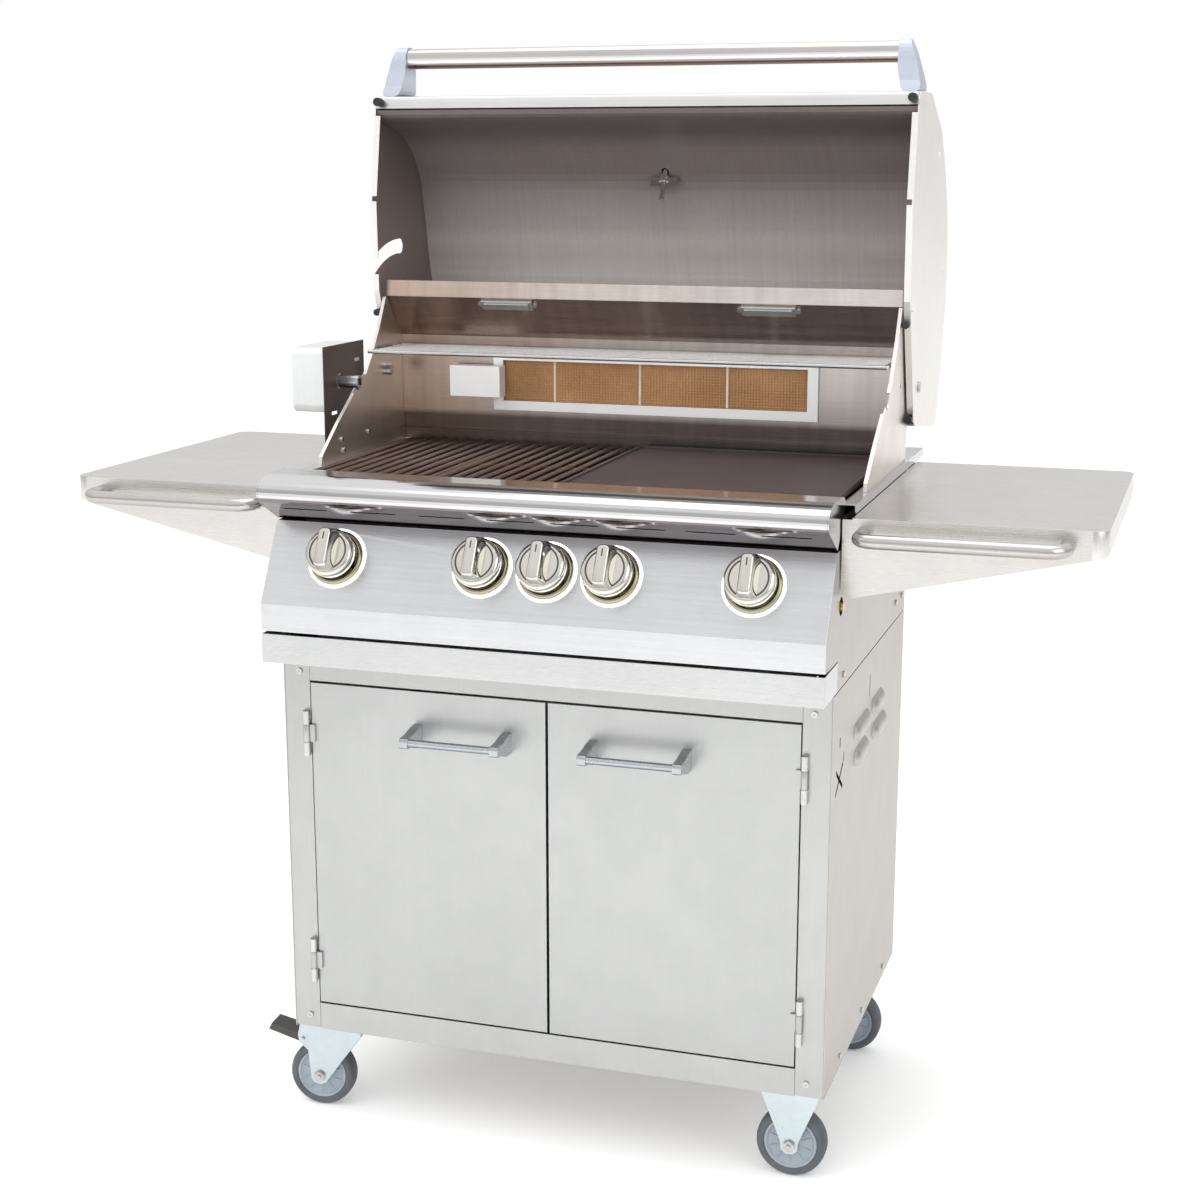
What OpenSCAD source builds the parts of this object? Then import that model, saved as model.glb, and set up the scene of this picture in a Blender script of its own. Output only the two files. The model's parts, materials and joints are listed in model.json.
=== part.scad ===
// Gas barbecue grill on a four-wheeled cart, with a hinged hood (open at rest),
// two cupboard doors, side shelves, five push-and-turn knobs and a rear burner.
// X runs to the grill's right hand side seen from the front, -Y is the front, +Z is up.
// The hood is drawn closed and then turned open about its hinge line.

/* [Cart] */
// Width of the cart and of the grill head
cart_w = 813; // [780:1:830]
// Depth of the cart
cart_d = 560; // [550:1:570]
// Height of the cart's underside above the ground
cart_z0 = 149; // [146:1:152]
// Height of the cart's top edge
cart_z1 = 731.5; // [728:0.5:733]
// Sheet thickness of the panels
sheet = 1.5; // [1.2:0.1:1.6]
// Width of each corner post's flange
post_w = 40; // [36:1:42]

/* [Doors] */
// Lower edge of the doors
door_z0 = 194; // [192:1:200]
// Upper edge of the doors
door_z1 = 690; // [680:1:691]
// Thickness of a folded door
door_t = 18; // [14:1:20]
// Height of the door handles' centre line
handle_z = 628; // [600:1:640]

/* [Head] */
// Height of the polished front rim
rim_z = 999; // [997:1:1000]
// Height of the cooking surface
cook_z = 990; // [986:1:991]
// Height of the control panel's knob centres
knob_z = 883; // [878:1:888]
// Number of rods in each grate
grate_rods = 10; // [8:1:11]

/* [Hood] */
// Half width over the hood's end panels
hood_hw = 427; // [426.5:0.5:428]
// Diameter of the hood's handle tube
tube_d = 31; // [28:1:32]

/* [Shelves] */
// Height of the shelf tops
shelf_z = 972; // [968:1:973]
// Outer end of each shelf, from the middle of the grill
shelf_x1 = 750; // [700:1:780]

/* [Casters] */
// Wheel diameter
wheel_d = 102; // [98:1:102]
// Width of the tyre
wheel_w = 32; // [28:1:32]
// Sideways place of the casters
cast_x = 350; // [340:1:352]
// Trail of the swivel casters
trail = 40; // [36:1:42]

/* [Hidden] */
$fn = 48;
// The box's middle in Y comes to the origin
y_off = -329.6;
hw = cart_w / 2;
eps = 0.2;
// Hood hinge line
hy = 496; hz = 1094;
// Control panel: knee, slope and knob places
knee_y = -64; knee_z = 818;
pan_dy = 61; pan_dz = 112;
pan_a = atan(pan_dz / pan_dy);
knob_s = (knob_z - knee_z) / sin(pan_a);
knob_x = [-302, -83, 11, 104, 301];
burner_x = [-285, -95, 95, 285];
door_pin = [370, -5.3];
tile_x = [[-236, -152], [-148.5, -10], [-6.5, 132], [135.5, 260]];
slot_x = [-345, -240, -138, -37, 55, 148, 244, 346];
cast_y = [62, 498];
cast_yaw = [185, 171];
steel = [0.80, 0.81, 0.80];
steel2 = [0.74, 0.72, 0.69];
zinc = [0.82, 0.87, 0.89];
dark = [0.2, 0.19, 0.19];

// ---------- helpers ----------
module bx(a, b) { translate(a) cube(b - a); }
module both() { children(); mirror([1, 0, 0]) children(); }
module at_mid() { translate([0, y_off, 0]) children(); }
// a (y,z) outline run along X
module yz(pts, x0, x1) { translate([x0, 0, 0]) rotate([90, 0, 90]) linear_extrude(x1 - x0) polygon(pts); }
// an (x,z) outline run along Y
module xz(pts, y0, y1) { translate([0, y1, 0]) rotate([90, 0, 0]) linear_extrude(y1 - y0) polygon(pts); }
module cx(p, r, l) { translate(p) rotate([0, 90, 0]) cylinder(r = r, h = l); }
module cy(p, r, l) { translate(p) rotate([-90, 0, 0]) cylinder(r = r, h = l); }
module cz(p, r, l) { translate(p) cylinder(r = r, h = l); }
// the hood's own parts are drawn closed, and turned open here
module hood_open() { translate([0, hy, hz]) rotate([-90, 0, 0]) translate([0, -hy, -hz]) children(); }
// a place on the sloping control panel; local Z points out of it
module on_panel(x, s) { translate([x, knee_y + s * cos(pan_a), knee_z + s * sin(pan_a)]) rotate([pan_a, 0, 0]) children(); }

function unit(v) = v / norm(v);
function perp(v) = [-v[1], v[0]];
// corners of a path eased with a quadratic curve
function ease(p, r, n = 4) = [for (i = [0 : len(p) - 1])
  let (end = i == 0 || i == len(p) - 1)
  each end ? [p[i]] :
    let (a = p[i - 1] - p[i], b = p[i + 1] - p[i], ra = min(r, norm(a) * 0.45), rb = min(r, norm(b) * 0.45),
         q0 = p[i] + unit(a) * ra, q1 = p[i] + unit(b) * rb)
    [for (k = [0 : n]) let (t = k / n) (1 - t) * (1 - t) * q0 + 2 * t * (1 - t) * p[i] + t * t * q1]];
// the same path moved sideways by t
function shift(p, t) = let (n = len(p)) [for (i = [0 : n - 1])
  let (d0 = i > 0 ? unit(p[i] - p[i - 1]) : unit(p[1] - p[0]),
       d1 = i < n - 1 ? unit(p[i + 1] - p[i]) : unit(p[n - 1] - p[n - 2]),
       m = unit(d0 + d1))
  p[i] + perp(m) * t / (perp(m) * perp(d0))];
function rev(p) = [for (i = [len(p) - 1 : -1 : 0]) p[i]];
// a strip of even thickness along a path
function strip(p, t) = concat(p, rev(shift(p, t)));

// ---------- cart ----------
module post(y, s) { // s = 1 front, -1 back
  f = y; g = y + s * 2;
  both() union() {
    bx([hw - sheet - post_w, min(f, g), cart_z0 + 3.2], [hw - sheet - 0.2, max(f, g), cart_z1]);
    bx([hw - sheet - 2.2, min(f, f + s * post_w), cart_z0 + 3.2], [hw - sheet - 0.2, max(f, f + s * post_w), cart_z1]);
  }
}
module cart_frame() {
  color(steel) {
    post(0, 1);
    post(cart_d, -1);
    bx([-hw + post_w + sheet + 0.3, 0, 693], [hw - post_w - sheet - 0.3, 22, cart_z1]);
    bx([-hw + post_w + sheet + 0.3, 0, cart_z0], [hw - post_w - sheet - 0.3, 22, 191]);
    bx([-hw + post_w + sheet + 0.3, cart_d - 22, cart_z0], [hw - post_w - sheet - 0.3, cart_d - 2.3, 189]);
    // corner plates that carry the casters
    for (y = cast_y) both() bx([290, y - 59, cart_z0], [hw - 2, y + 59, cart_z0 + 3]);
  }
}
module capsule(x, y0, y1, z, r) {
  cy([x, y0 + r, z], r, y1 - y0 - 2 * r);
  translate([x, y0 + r, z]) sphere(r);
  translate([x, y1 - r, z]) sphere(r);
}
module louvre_out(y0, y1, z) { intersection() { capsule(hw - 12, y0, y1, z, 20); bx([hw - sheet, y0 - 1, z - 9], [hw + 20, y1 + 1, z + 21]); } }
module louvre_in(y0, y1, z) { intersection() { capsule(hw - 13, y0 + 1.5, y1 - 1.5, z, 19); bx([hw - 20, y0, z - 10], [hw + 20, y1, z + 20]); } }
lou = [[293, 382, 638], [154, 267, 636], [299, 405, 597], [159, 258, 597]];
module side_panel() {
  difference() {
    union() {
      bx([hw - sheet, 0, cart_z0], [hw, cart_d, cart_z1]);
      for (l = lou) louvre_out(l[0], l[1], l[2]);
    }
    for (l = lou) louvre_in(l[0], l[1], l[2]);
    bx([hw - 5, 268, 663], [hw + 5, 272.5, 696]);
    bx([hw - 5, 78, 620], [hw + 5, 82, 634]);
    bx([hw - 5, 48, 648], [hw + 5, 54, 662]);
    for (a = [-1, 1]) translate([hw, 51, 602]) rotate([a * 35, 0, 0]) bx([-5, -30, -3], [5, 30, 3]);
  }
}
module side_panels() { color(steel2) both() side_panel(); }
module cabinet_back_floor() { back_sheet(); floor_sheet(); }
module back_sheet() {
  color(steel2) difference() {
    bx([-hw + sheet + 2.5, cart_d - 4, cart_z0 + 42], [hw - sheet - 2.5, cart_d - 2.5, cart_z1]);
    for (i = [-3 : 3], k = [0 : 4]) bx([i * 90 - 30, cart_d - 10, 560 + k * 22], [i * 90 + 30, cart_d, 568 + k * 22]);
    cy([-250, cart_d - 10, 300], 18, 20);
  }
}
module floor_sheet() {
  color(steel2) union() {
    bx([-hw + sheet + 2.6, 22.5, 187], [hw - sheet - 2.6, cart_d - 22.5, 189]);
    bx([-hw + sheet + 2.6, 22.5, 172], [-hw + sheet + 4.6, cart_d - 42, 189]);
    bx([hw - sheet - 4.6, 42, 172], [hw - sheet - 2.6, cart_d - 42, 189]);
  }
}
module front_bar() {
  color(steel) difference() {
    bx([-hw, -65, 733], [hw, 20.5, 775]);
    bx([-hw + sheet, -63.5, 734.5], [hw - sheet, 40, 780]);
  }
}
module side_skirts() {
  p = [[21, 733], [cart_d, 733], [cart_d, 970], [48.5, 970], [48.5, 931], [1, 928], [-60.9, 817.5], [-60.9, 781.8], [-43, 781.8], [-43, 777.5], [21, 776.5]];
  color(steel2) {
    difference() {
      both() yz(p, hw - sheet, hw);
      // way in for the gas hose
      cx([hw - 10, man_y, man_z], 13, 20);
    }
    bx([-hw + sheet + 0.1, cart_d - sheet, 792], [hw - sheet - 0.1, cart_d, 970]);
  }
}

// ---------- shelves ----------
module shelf() {
  x0 = 421; y0 = 18; y1 = 546; zi = 864; zo = 938;
  difference() {
    intersection() {
      xz([[x0, shelf_z], [shelf_x1, shelf_z], [shelf_x1, zo], [x0, zi]], y0, y1);
      linear_extrude(2000) union() {
        translate([x0, y0]) square([shelf_x1 - 20 - x0, y1 - y0]);
        translate([x0, y0 + 20]) square([shelf_x1 - x0, y1 - y0 - 40]);
        for (y = [y0 + 20, y1 - 20]) translate([shelf_x1 - 20, y]) circle(20);
      }
    }
    intersection() {
      xz([[x0 + 1.5, shelf_z - 1.6], [shelf_x1 - 1.5, shelf_z - 1.6], [shelf_x1 - 1.5, 850], [x0 + 1.5, 850]], y0, y1);
      linear_extrude(2000) union() {
        translate([x0, y0 + 1.5]) square([shelf_x1 - 20 - x0, y1 - y0 - 3]);
        translate([x0, y0 + 20]) square([shelf_x1 - 1.5 - x0, y1 - y0 - 40]);
        for (y = [y0 + 20, y1 - 20]) translate([shelf_x1 - 20, y]) circle(18.5);
      }
    }
  }
  // bracket along the head
  difference() {
    bx([hw + 0.3, y0 + 112, 890], [x0 + 0.5, y1 - 96, 952]);
    bx([hw + 2, y0 + 114, 892], [x0 + 5, y1 - 98, 950]);
  }
  for (y = [y0, y1 - 1.5]) bx([hw + 1.5, y, 868], [x0 + 0.5, y + 1.5, 970]);
}
module side_shelves() { color(steel2) both() shelf(); }
module bend(x, y, z, r, R, a) { translate([x, y, z]) rotate([0, 0, a]) rotate_extrude(angle = 90) translate([R, 0]) circle(r); }
module towel_bar() {
  r = 9.5; R = 24; xa = 436; xb = 700; yb = -36; z = 952;
  union() {
    cx([xa + R, yb, z], r, xb - xa - 2 * R);
    bend(xa + R, yb + R, z, r, R, 180);
    bend(xb - R, yb + R, z, r, R, 270);
    cy([xa, yb + R, z], r, 17.9 - yb - R);
    cy([xb, yb + R, z], r, 17.9 - yb - R);
  }
}
module towel_bars() { color(steel) both() towel_bar(); }

// ---------- head ----------
module firebox() {
  color(steel2) {
    difference() {
      bx([-388, 50, 830], [388, 52, 973]);
      for (x = burner_x) cy([x, 45, 852], 15, 12);
    }
    bx([-388, 464, 830], [388, 465.5, 973]);
    both() bx([386, 52.2, 830], [388, 463.8, 973]);
    both() bx([24, 50, 827], [388, 465.5, 829.8]);
    both() yz([[50, 973.2], [465.5, 973.2], [465.5, 976], [50, 976]], 386, 399.8);
    // runners for the grease tray
    both() bx([372.5, 45, 741], [hw - sheet - 0.1, 545, 743]);
  }
}
wing_lo = [[152, 985.2], [155, 997], [213, 1040], [273, 1079]];
wing_hi = [[319, 1104], [346, 1134], [374, 1172], [402, 1219.5]];
wing = concat(wing_lo, [[282, 1085], [308, 1101]], wing_hi,
  [[470, 1155], [500, 1134], [520, 1127], [534, 1112], [536, 1094], [530, 1076], [514, 1062], [490, 1055], [472, 1030], [472, 985.2]]);
wing_x = 413;
module hood_wings() {
  color(steel2) both() difference() {
    union() {
      yz(wing, wing_x, wing_x + 1.8);
      // folded front edges
      yz(strip(wing_lo, -1.5), wing_x - 3.5, wing_x + 1.8);
      yz(strip(wing_hi, -1.5), wing_x - 3.5, wing_x + 1.8);
    }
    cx([400, hy, hz], 5.05, 20);
    cx([400, 407, 1104], 4, 20);
    // rest for the spit rod
    cx([400, 295, 1095], 13, 20);
  }
}
module back_wall() {
  color(steel2) {
    bx([-399.6, 470, 976.2], [399.6, 471.5, 985.6]);
    difference() {
      bx([-412.8, 470, 985.3], [412.8, 471.5, 1155]);
      bx([-238, 460, 1051], [262, 480, 1120]);
    }
    yz(strip([[471.6, 1155.2], [466, 1155.2], [412, 1220], [412, 1245], [418, 1245]], -1.5), -412.8, 412.8);
    // burner housing behind the wall
    difference() {
      bx([-256, 471.6, 1040], [282, 481, 1124]);
      bx([-254, 460, 1042], [280, 479.5, 1122]);
    }
    // ledge in front of the wall's foot
    bx([-412.8, 452, 1003], [412.8, 469.9, 1004.5]);
  }
}
rim = ease([[-2, 931.5], [-62, 964.5], [-66, 975], [-63, 990], [-36, rim_z], [30, rim_z], [47, 990], [47, 977]], 11, 3);
module head_flange() { front_rim(); side_rails(); }
module front_rim() {
  color(steel) {
    difference() {
      yz(strip(rim, -1.8), -hw + 2, hw - 2);
      for (x = slot_x) translate([x, -40, 952]) rotate([-29, 0, 0]) union() {
        bx([-32, -2.6, -12], [32, 2.6, 12]);
        for (s = [-1, 1]) cz([s * 32, 0, -12], 2.6, 24);
      }
    }
    both() yz(rim, hw - 1.8, hw);
  }
}
module side_rails() {
  color(steel) {
    both() yz([[49, 972.5], [613, 972.5], [613, 985], [49, 985]], 418.5, 420);
    both() bx([400, 49, 983.5], [418.3, 613, 985]);
    both() bx([400, 49, 977], [401.5, 613, 983.3]);
    bx([-399.8, 474, 983.5], [399.8, 613, 985]);
    bx([-399.8, 611.5, 945], [399.8, 613, 983.3]);
  }
}
panel = [[-3.6, 928.5], [knee_y, knee_z], [knee_y, 779], [-44, 779]];
module control_panel() {
  color(steel) difference() {
    yz(strip(panel, 2), -hw, hw);
    for (x = knob_x) on_panel(x, knob_s) cz([0, 0, -10], 7, 20);
  }
}
module bezel() {
  difference() {
    rotate_extrude() polygon([[20, 0.1], [40.5, 0.1], [40.5, 3], [39, 6.5], [36, 8.4], [34, 8.4], [31, 5.5], [20, 5.5]]);
    cz([0, 0, -1], 9, 20);
  }
}
module knob_bezels() { color([0.72, 0.7, 0.6]) for (x = knob_x) on_panel(x, knob_s) bezel(); }
module light_ring() { difference() { cz([0, 0, 0.1], 43.5, 2.2); cz([0, 0, -1], 40.8, 5); } }
module light_rings() { color([0.9, 0.95, 1]) for (x = knob_x) on_panel(x, knob_s) light_ring(); }
man_y = knee_y + knob_s * cos(pan_a) + 70 * sin(pan_a);
man_z = knob_z - 70 * cos(pan_a);
module gas_manifold() {
  color([0.7, 0.6, 0.35]) {
    union() {
      cx([-350, man_y, man_z], 9, 735);
      // inlet nipple
      cx([384, man_y, man_z], 7, 26);
      for (x = knob_x) on_panel(x, knob_s) difference() {
        bx([-13, -13, -62], [13, 13, -14]);
        cz([0, 0, -50], 4.05, 60);
      }
    }
    for (x = burner_x) cy([x, man_y + 9.1, man_z], 3, 14);
  }
}
module main_burners() {
  color(steel2) for (x = burner_x) difference() {
    cy([x, 54, 852], 14, 396);
    cy([x, 50, 852], 12.5, 396);
    for (k = [0 : 11]) cx([x - 16, 110 + 28 * k, 858], 1.6, 32);
  }
}
module flame_tamers() { color(steel2) for (x = burner_x) translate([x, 0, 0]) xz(strip([[-75, 905], [0, 945], [75, 905]], 1.6), 60, 455); }
module rear_burner_frame() {
  color([0.9, 0.9, 0.88]) {
    difference() {
      bx([-252, 464.5, 1038], [279, 469.9, 1123]);
      bx([-236, 460, 1053], [262, 480, 1118]);
    }
    // igniter cover
    difference() {
      bx([-317, 438, 1061], [-232, 464.3, 1110]);
      bx([-315.5, 439.5, 1062.5], [-233.5, 470, 1108.5]);
    }
  }
}
module rear_burner_tiles() { color([0.62, 0.42, 0.24]) for (t = tile_x) bx([t[0] + 0.3, 471.7, 1053.5], [t[1] - 0.3, 478.5, 1117.5]); }
module grate(x0) {
  n = grate_rods; p = (193 - 8) / (n - 1);
  union() {
    for (i = [0 : n - 1]) cy([x0 + 6 + i * p, 60, cook_z - 4.5], 4, 390);
    for (y = [72, 250, 436]) cx([x0 + 2, y, cook_z - 10], 3.5, 193);
  }
}
module cooking_grates() { color([0.3, 0.26, 0.24]) { grate(-395); grate(-197); } }
module griddle() {
  color([0.37, 0.34, 0.33]) difference() {
    bx([1, 56, cook_z - 6], [394, 451, cook_z + 2.5]);
    bx([5, 60, cook_z], [390, 447, cook_z + 10]);
  }
}
module warming_rack() {
  z = 1139; y0 = 326; y1 = 462; xw = 408;
  color([0.85, 0.84, 0.82]) union() {
    for (y = [y0, y1]) cx([-xw, y, z], 3, 2 * xw);
    for (x = [-xw + 3, xw - 3]) cy([x, y0, z], 3, y1 - y0);
    for (i = [1 : 7]) cx([-xw + 3, y0 + i * (y1 - y0) / 8, z + 1.5], 1.4, 2 * xw - 6);
    for (x = [-204, 0, 204]) cy([x, y0, z - 1.5], 2, y1 - y0);
    // pegs that rest in the wings
    for (x = [-1, 1], y = [y0 + 36, y1 - 12]) cx([x > 0 ? xw - 5 : -412.8, y, z], 3, 412.8 - xw + 5);
  }
}
// lamps under the canopy's sloping sheet; local Z points out of the sheet
module on_canopy(t) { translate([0, 412 + t * 0.639, 1220 - t * 0.769]) rotate([129.7, 0, 0]) children(); }
module lamps() {
  color([0.85, 0.85, 0.82]) both() on_canopy(12) {
    bx([168, -8, 0.2], [252, 8, 5]);
    bx([173, -5.5, 5.1], [247, 5.5, 8]);
    for (x = [164.5, 255.5]) cz([x, 0, 0.2], 4, 3);
  }
}
module motor_bracket() {
  color(steel2) union() {
    difference() {
      bx([-444.5, 238, 986.5], [-443, 385, 1152]);
      cx([-450, 295, 1095], 12.5, 20);
      for (z = [1120, 1010]) bx([-450, 350, z], [-440, 372, z + 6]);
      bx([-450, 262, 1045], [-440, 284, 1051]);
    }
    bx([-444.5, 238, 985.1], [-415.1, 385, 986.6]);
  }
}
module motor_housing() {
  color([0.85, 0.86, 0.86]) difference() {
    intersection() {
      bx([-500, 245, 1050], [-444.6, 382, 1150]);
      translate([-520, 245, 1050]) rotate([90, 0, 90]) linear_extrude(100) union() {
        translate([14, 0]) square([109, 100]);
        translate([0, 14]) square([137, 72]);
        for (a = [14, 123], b = [14, 86]) translate([a, b]) circle(14);
      }
    }
    cx([-470, 295, 1095], 5.05, 40);
  }
}
module screw_y(x, y, z, r = 4.5) { difference() { cy([x, y - 2.4, z], r, 2.3); cy([x, y - 5, z], 1.6, 3.8); } }
module screw_x(y, z, r = 4.5, x = hw) { cx([x + 0.1, y, z], r, 2.2); }
module fasteners() {
  color([0.6, 0.6, 0.6]) {
    both() for (p = [[381, 706], [391, 723], [381, 170]]) screw_y(p[0], 0, p[1]);
    both() for (p = [[111, 166], [279, 166], [459, 166], [61, 749], [476, 761], [531, 762]]) screw_x(p[0], p[1]);
    both() for (y = [120, 460], z = [900, 940]) cx([hw + 0.1, y, z], 5, 2.3);
    both() for (p = [[232, 1013], [330, 1013], [238, 996]]) cx([wing_x - 2.4, p[0], p[1]], 4, 2.3);
    // thumb nuts on the wings
    both() translate([wing_x - 9, 407, 1104]) rotate([0, 90, 0]) linear_extrude(8.9)
      polygon([for (k = [0 : 11]) let (r = k % 2 == 0 ? 9.5 : 7) [r * cos(30 * k), r * sin(30 * k)]]);
  }
}
module caster_plate() { bx([-48, -48, 143], [48, 48, 148.9]); for (x = [-37, 37], y = [-28, 28]) cz([x, y, 139], 5, 3.9); }
module rigid_fork() {
  for (s = [-1, 1]) xz([[-46, 142.8], [46, 142.8], [46, 138], [13, 56], [12, 44], [5, 38], [-5, 38], [-12, 44], [-13, 56], [-46, 138]],
    s > 0 ? 18.5 : -21.5, s > 0 ? 21.5 : -18.5);
  bx([-46, -18.6, 139.8], [46, 18.6, 142.8]);
  cy([0, -26, wheel_d / 2], 6, 52);
}
module caster_mounts() {
  color(zinc) {
    for (y = cast_y) translate([cast_x, y, 0]) { caster_plate(); rigid_fork(); }
    for (y = cast_y) translate([-cast_x, y, 0]) { caster_plate(); cz([0, 0, 134.3], 6, 9); }
  }
}
module hinge_pins() {
  color([0.7, 0.7, 0.7]) {
    // hood pivots
    both() union() { cx([wing_x - 1, hy, hz], 5, 17); cx([hood_hw + 0.3, hy, hz], 8, 3); cx([wing_x - 2.7, hy, hz], 8, 2.5); cx([wing_x + 2.1, hy, hz], 9, 9.6); }
    // door pins with their end knuckles
    both() for (z = [228, 581]) translate([door_pin[0], door_pin[1], z]) union() {
      cylinder(r = 2.5, h = 67);
      cylinder(r = 5, h = 20);
      translate([0, 0, 47]) cylinder(r = 5, h = 20);
      bx([-1, 0, 0], [5, -door_pin[1], 20]);
      bx([-1, 0, 47], [5, -door_pin[1], 67]);
    }
  }
}

// ---------- hood ----------
skin = ease([[80, 1013.3], [64, 1016], [61, 1022], [61, 1135], [77, 1165], [112, 1241], [155, 1280], [207, 1315], [258, 1339], [318, 1349], [378, 1350], [484, 1318], [578, 1283], [559.2, 1121]], 22, 3);
ends = ease([[72, 1016], [61, 1024], [61, 1135], [77, 1165], [112, 1241], [155, 1280], [207, 1315], [258, 1339], [318, 1349], [378, 1350], [484, 1318], [578, 1283], [555, 1085], [549, 1060], [361, 992], [225, 989], [80, 1014]], 14, 2);
liner = ease([[82, 1016.5], [95, 1020], [114, 1099], [140, 1150], [185, 1186], [249, 1203], [300, 1213], [353, 1226], [400, 1254], [440, 1270], [496, 1278], [558, 1272]], 20, 3);
th_z = 1213; th_y = 77 + (th_z - 1165) * 35 / 76; th_a = atan2(35, 76);
module hood_skin() {
  color(steel2) hood_open() difference() {
    yz(strip(skin, -1.5), -hood_hw + 1.7, hood_hw - 1.7);
    on_dial() cz([0, 0, -60], 6.1, 80);
  }
}
module hood_ends() {
  color(steel2) hood_open() both_ends() ;
}
module both_ends() {
  for (s = [-1, 1]) difference() {
    mirror([s < 0 ? 1 : 0, 0, 0]) union() {
      yz(ends, hood_hw - 1.5, hood_hw);
      // folded edge that shows as a bright strip when the hood is open
      yz(strip([[91, 1012], [225, 989], [361, 992]], 1.5), hood_hw - 9.5, hood_hw - 1);
      yz(strip([[360, 992], [533, 1054.6]], 1.5), hood_hw - 9.5, hood_hw - 1);
    }
    mirror([s < 0 ? 1 : 0, 0, 0]) cx([410, hy, hz], 5.05, 30);
    // the left end is notched for the spit drive
    if (s < 0) translate([-440, 0, 0]) rotate([90, 0, 90]) linear_extrude(40) union() {
      polygon(concat([for (a = [180 : 4 : 216]) [hy + 212.5 * cos(a), hz + 212.5 * sin(a)]],
        [for (a = [216 : -4 : 180]) [hy + 189.5 * cos(a), hz + 189.5 * sin(a)]]));
      translate([295.2, 1095]) circle(12);
    }
    mirror([s < 0 ? 1 : 0, 0, 0]) bx([400, 214, 980], [hood_hw - 2, 222, 1000]);
  }
  // screws that hold the liner
  both() for (p = end_screws) cx([hood_hw + 0.1, p[0], p[1]], 3.5, 1.8);
}
end_screws = [[374, 1010], [150, 1225], [330, 1300]];
module hood_liner() {
  color([0.5, 0.46, 0.44]) hood_open() difference() {
    yz(strip(liner, -1.2), -hood_hw + 2, hood_hw - 2);
    on_dial() cz([0, 0, -140], 6.1, 160);
  }
}
module on_dial() { translate([0, th_y, th_z]) rotate([90 - th_a, 0, 0]) children(); }
module hood_handle_tube() { color(steel) hood_open() difference() { cx([-388, 3.4, 1067.6], tube_d / 2, 776); cx([-400, 3.4, 1067.6], tube_d / 2 - 2, 800); } }
module horn() {
  intersection() {
    yz(ease([[60.9, 1034], [60.9, 1106], [45, 1097], [20, 1088], [0, 1087], [-14.5, 1078], [-14.5, 1057], [0, 1048], [20, 1047], [45, 1042]], 9, 3), 380, 430);
    translate([0, 0, 1020]) linear_extrude(100) polygon(ease([[388.3, -16], [388.3, 26], [396, 61], [424.5, 61], [421, 38], [413, 8], [404, -16]], 8, 3));
  }
}
module hood_handle_brackets() { color([0.8, 0.82, 0.88]) hood_open() both() horn(); }
module hood_bumpers() {
  color(dark) hood_open() both() {
    translate([418.5, 70, 1001.5]) cylinder(r = 6.5, h = 11.9);
    translate([421, 395, 987.5]) cylinder(r = 5.5, h = 14);
    translate([421, 541, 1040]) cylinder(r = 5.5, h = 14.5);
  }
}
module thermometer() {
  color([0.85, 0.85, 0.85]) hood_open() on_dial() {
    // case with a recessed face, and its stem through both skins
    difference() {
      union() { cz([0, 0, 3.5], 38, 14); cz([0, 0, 0.2], 11, 3.5); cz([0, 0, -134], 4, 135); }
      translate([0, 0, 11.2]) cylinder(r1 = 32, r2 = 34, h = 10);
      cz([0, 0, 7.2], 2.03, 8);
    }
    // wing nut on the inside
    difference() {
      union() { cz([0, 0, -103], 8, 9); bx([-22, -1.5, -110], [22, 1.5, -96]); }
      cz([0, 0, -115], 4.3, 30);
    }
  }
}
module thermometer_needle() {
  color([0.7, 0.1, 0.1]) hood_open() on_dial() union() {
    cz([0, 0, 8.2], 1.98, 6);
    cz([0, 0, 12.2], 4, 1.5);
    translate([0, 0, 12.5]) linear_extrude(0.8) polygon([[-2.2, -8], [2.2, -8], [0.5, 27], [-0.5, 27]]);
  }
}

// ---------- doors ----------
module door() { // right-hand door, hinged at +X
  x0 = 2; x1 = 363.3;
  difference() {
    bx([x0, -1, door_z0], [x1, door_t - 1, door_z1]);
    bx([x0 + 1.5, 0.5, door_z0 + 1.5], [x1 - 1.5, door_t - 2.5, door_z1 - 1.5]);
    bx([x0 + 22, 5, door_z0 + 22], [x1 - 22, door_t + 5, door_z1 - 22]);
  }
  for (z = [228 + 20.5, 581 + 20.5]) difference() {
    union() {
      translate([door_pin[0], door_pin[1], z]) cylinder(r = 5, h = 26);
      bx([x1 - 6, -5.2, z], [door_pin[0], -0.9, z + 26]);
    }
    translate([door_pin[0], door_pin[1], z - 1]) cylinder(r = 2.56, h = 30);
  }
}
module right_door() { color(steel) door(); }
module left_door() { color(steel) mirror([1, 0, 0]) door(); }
// cast arms that taper from the door to a square collar, with a round bar between them
arm = ease([[-1.1, 14], [-14, 13.5], [-38, 8], [-57, 7.5], [-58, -7.5], [-40, -9], [-20, -16.5], [-1.1, -16]], 5, 3);
module door_handle(x) {
  for (s = [-1, 1]) translate([x + s * 68 - 6.5, 0, handle_z]) yz(arm, 0, 13);
  cx([x - 62, -50, handle_z], 5.5, 124);
}
module left_door_handle() { color([0.88, 0.9, 0.9]) union() door_handle(-127); }
module right_door_handle() { color([0.88, 0.9, 0.9]) union() door_handle(137); }

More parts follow.
